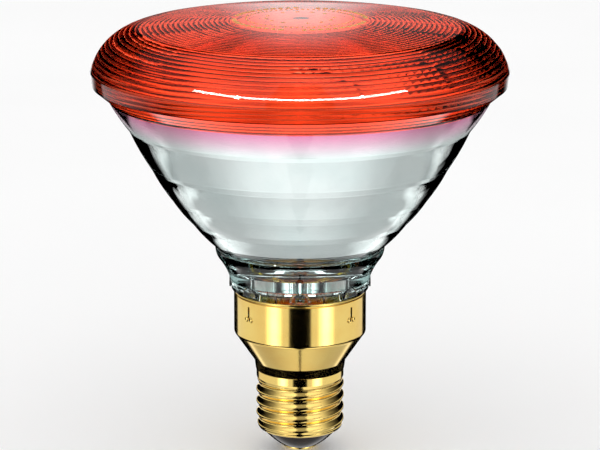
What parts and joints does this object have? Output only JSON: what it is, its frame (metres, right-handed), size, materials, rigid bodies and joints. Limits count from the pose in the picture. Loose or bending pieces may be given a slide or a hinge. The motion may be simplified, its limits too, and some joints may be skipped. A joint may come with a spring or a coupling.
{
  "type": "reflector heat lamp",
  "caption": "Reflector heat lamp with a ring-fluted red glass lens, stepped clear glass bowl with mirrored inside, brass skirt and screw cap.",
  "frame": {"origin": "tip of the centre contact's solder, on the lamp's axis", "axes": "+Z along the lamp's axis from the screw cap towards the lens, -Y the front, where a thread crest lies 8.9 mm up"},
  "size_m": [0.121, 0.121, 0.1305],
  "materials": {
    "red_glass": "fire-polished red pressed glass, ring flutes",
    "clear_glass": "fire-polished clear pressed glass with a faint green tint",
    "reflector_aluminium": "vacuum-deposited aluminium, mirror bright",
    "nickel_iron": "satin nickel-iron",
    "braze_metal": "dull braze fillet",
    "nickel_wire": "drawn nickel wire",
    "tungsten": "drawn tungsten, dark grey",
    "molybdenum": "drawn molybdenum wire",
    "bead_glass": "drawn clear glass",
    "cap_brass": "bright drawn brass, lacquered",
    "vitrite": "black cap glass, glossy",
    "solder": "bright tin solder",
    "copper_wire": "drawn copper-clad lead wire"
  },
  "bodies": {
    "root": {"front_lens": "red_glass", "reflector_bowl": "clear_glass", "reflector_coating": "reflector_aluminium", "ferrule_left": "nickel_iron", "ferrule_right": "nickel_iron", "braze_left": "braze_metal", "braze_right": "braze_metal", "exhaust_tube": "bead_glass", "post_left": "nickel_wire", "post_right": "nickel_wire", "clamp_left": "nickel_wire", "clamp_right": "nickel_wire", "filament": "tungsten", "filament_supports": "molybdenum", "support_bridge": "bead_glass", "cap_skirt": "cap_brass", "screw_shell": "cap_brass", "contact_insulator": "vitrite", "centre_contact": "cap_brass", "centre_solder": "solder", "lead_wire_lower": "copper_wire", "lead_wire_upper": "copper_wire", "lead_wire_shell": "copper_wire", "fuse_link": "copper_wire", "fuse_sleeve": "bead_glass", "shell_weld": "braze_metal"}
  },
  "joints": []
}
